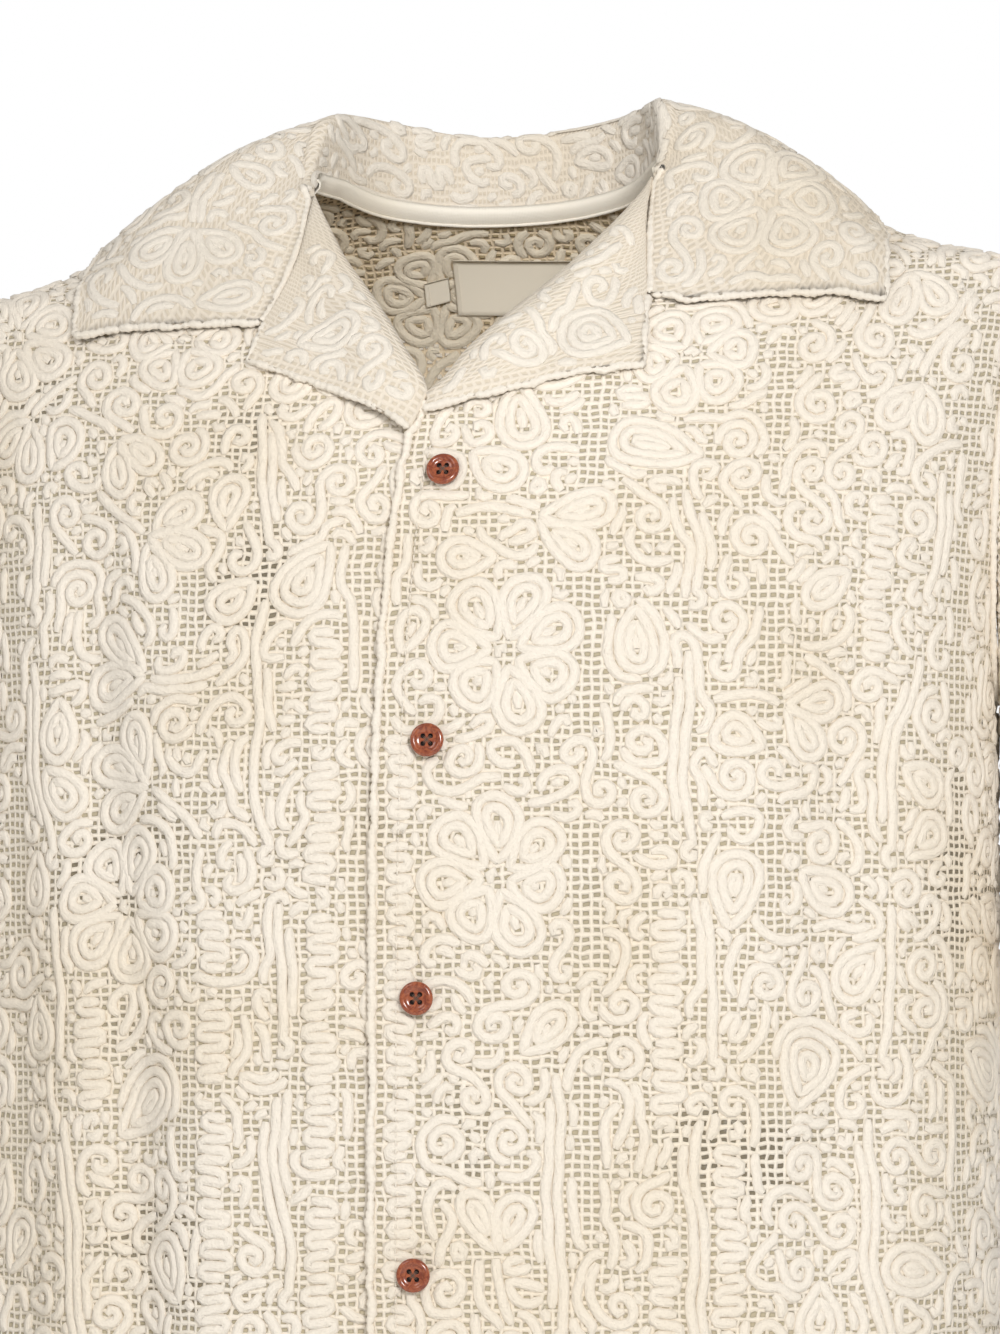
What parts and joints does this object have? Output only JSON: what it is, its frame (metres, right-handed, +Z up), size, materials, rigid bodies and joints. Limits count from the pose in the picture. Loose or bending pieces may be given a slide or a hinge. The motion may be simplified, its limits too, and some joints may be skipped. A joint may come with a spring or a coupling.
{
  "type": "camp collar shirt",
  "caption": "Short-sleeved camp collar shirt of cream corded lace, filled out as worn and hollow, with a buttoned front, notched lapels and a bare label inside the back neck.",
  "frame": {"origin": "middle of the neck at the level where the wearer's shoulders carry the shirt", "axes": "+Z up, -Y the front of the shirt, +X the wearer's left"},
  "size_m": [0.674, 0.2615, 0.7426],
  "materials": {
    "corded_lace": "cream cotton cord stitched in scrolls and flowers on an open square net",
    "neck_tape": "plain woven cotton tape",
    "label_cloth": "fine woven label cloth, bare",
    "button_nut": "polished reddish-brown nut"
  },
  "bodies": {
    "root": {"back": "corded_lace", "front_left": "corded_lace", "front_right": "corded_lace", "sleeve_left": "corded_lace", "sleeve_right": "corded_lace", "collar": "corded_lace", "lapel_left": "corded_lace", "lapel_right": "corded_lace", "neck_tape": "neck_tape", "label": "label_cloth", "size_tab": "label_cloth", "button_1": "button_nut", "button_2": "button_nut", "button_3": "button_nut", "button_4": "button_nut", "button_5": "button_nut"}
  },
  "joints": []
}
